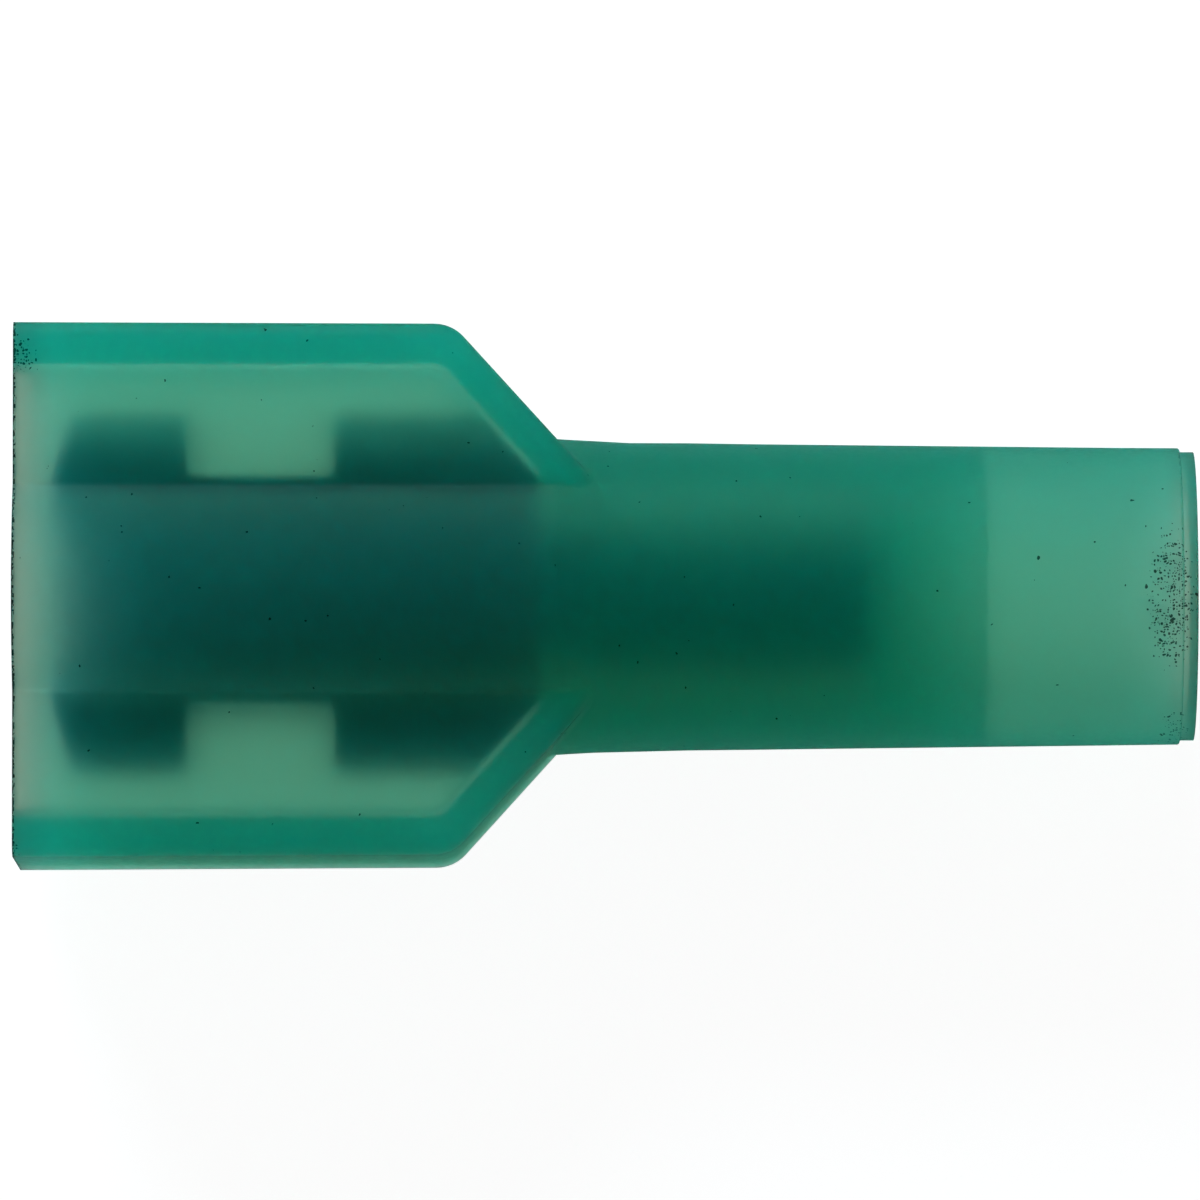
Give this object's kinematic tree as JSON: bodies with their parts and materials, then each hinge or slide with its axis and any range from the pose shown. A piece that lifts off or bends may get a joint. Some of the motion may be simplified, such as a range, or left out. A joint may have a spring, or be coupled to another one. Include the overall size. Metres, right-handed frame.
{
  "type": "fully insulated female spade terminal",
  "caption": "Female push-on spade terminal: rolled tin-plated receptacle and crimp barrel inside a translucent green-blue nylon housing with a flat mouth and a round wire barrel.",
  "frame": {"origin": "middle of the mouth's front plane, on the wire's axis and the tab's middle plane", "axes": "+X from the mouth to the wire end, +Y across the width, +Z towards the rolled side"},
  "size_m": [0.0235, 0.0106, 0.0064],
  "materials": {
    "nylon": "translucent moulded nylon, satin gloss",
    "tinned_brass": "matt tin plating over brass"
  },
  "bodies": {
    "root": {"housing": "nylon", "receptacle": "tinned_brass"}
  },
  "joints": []
}
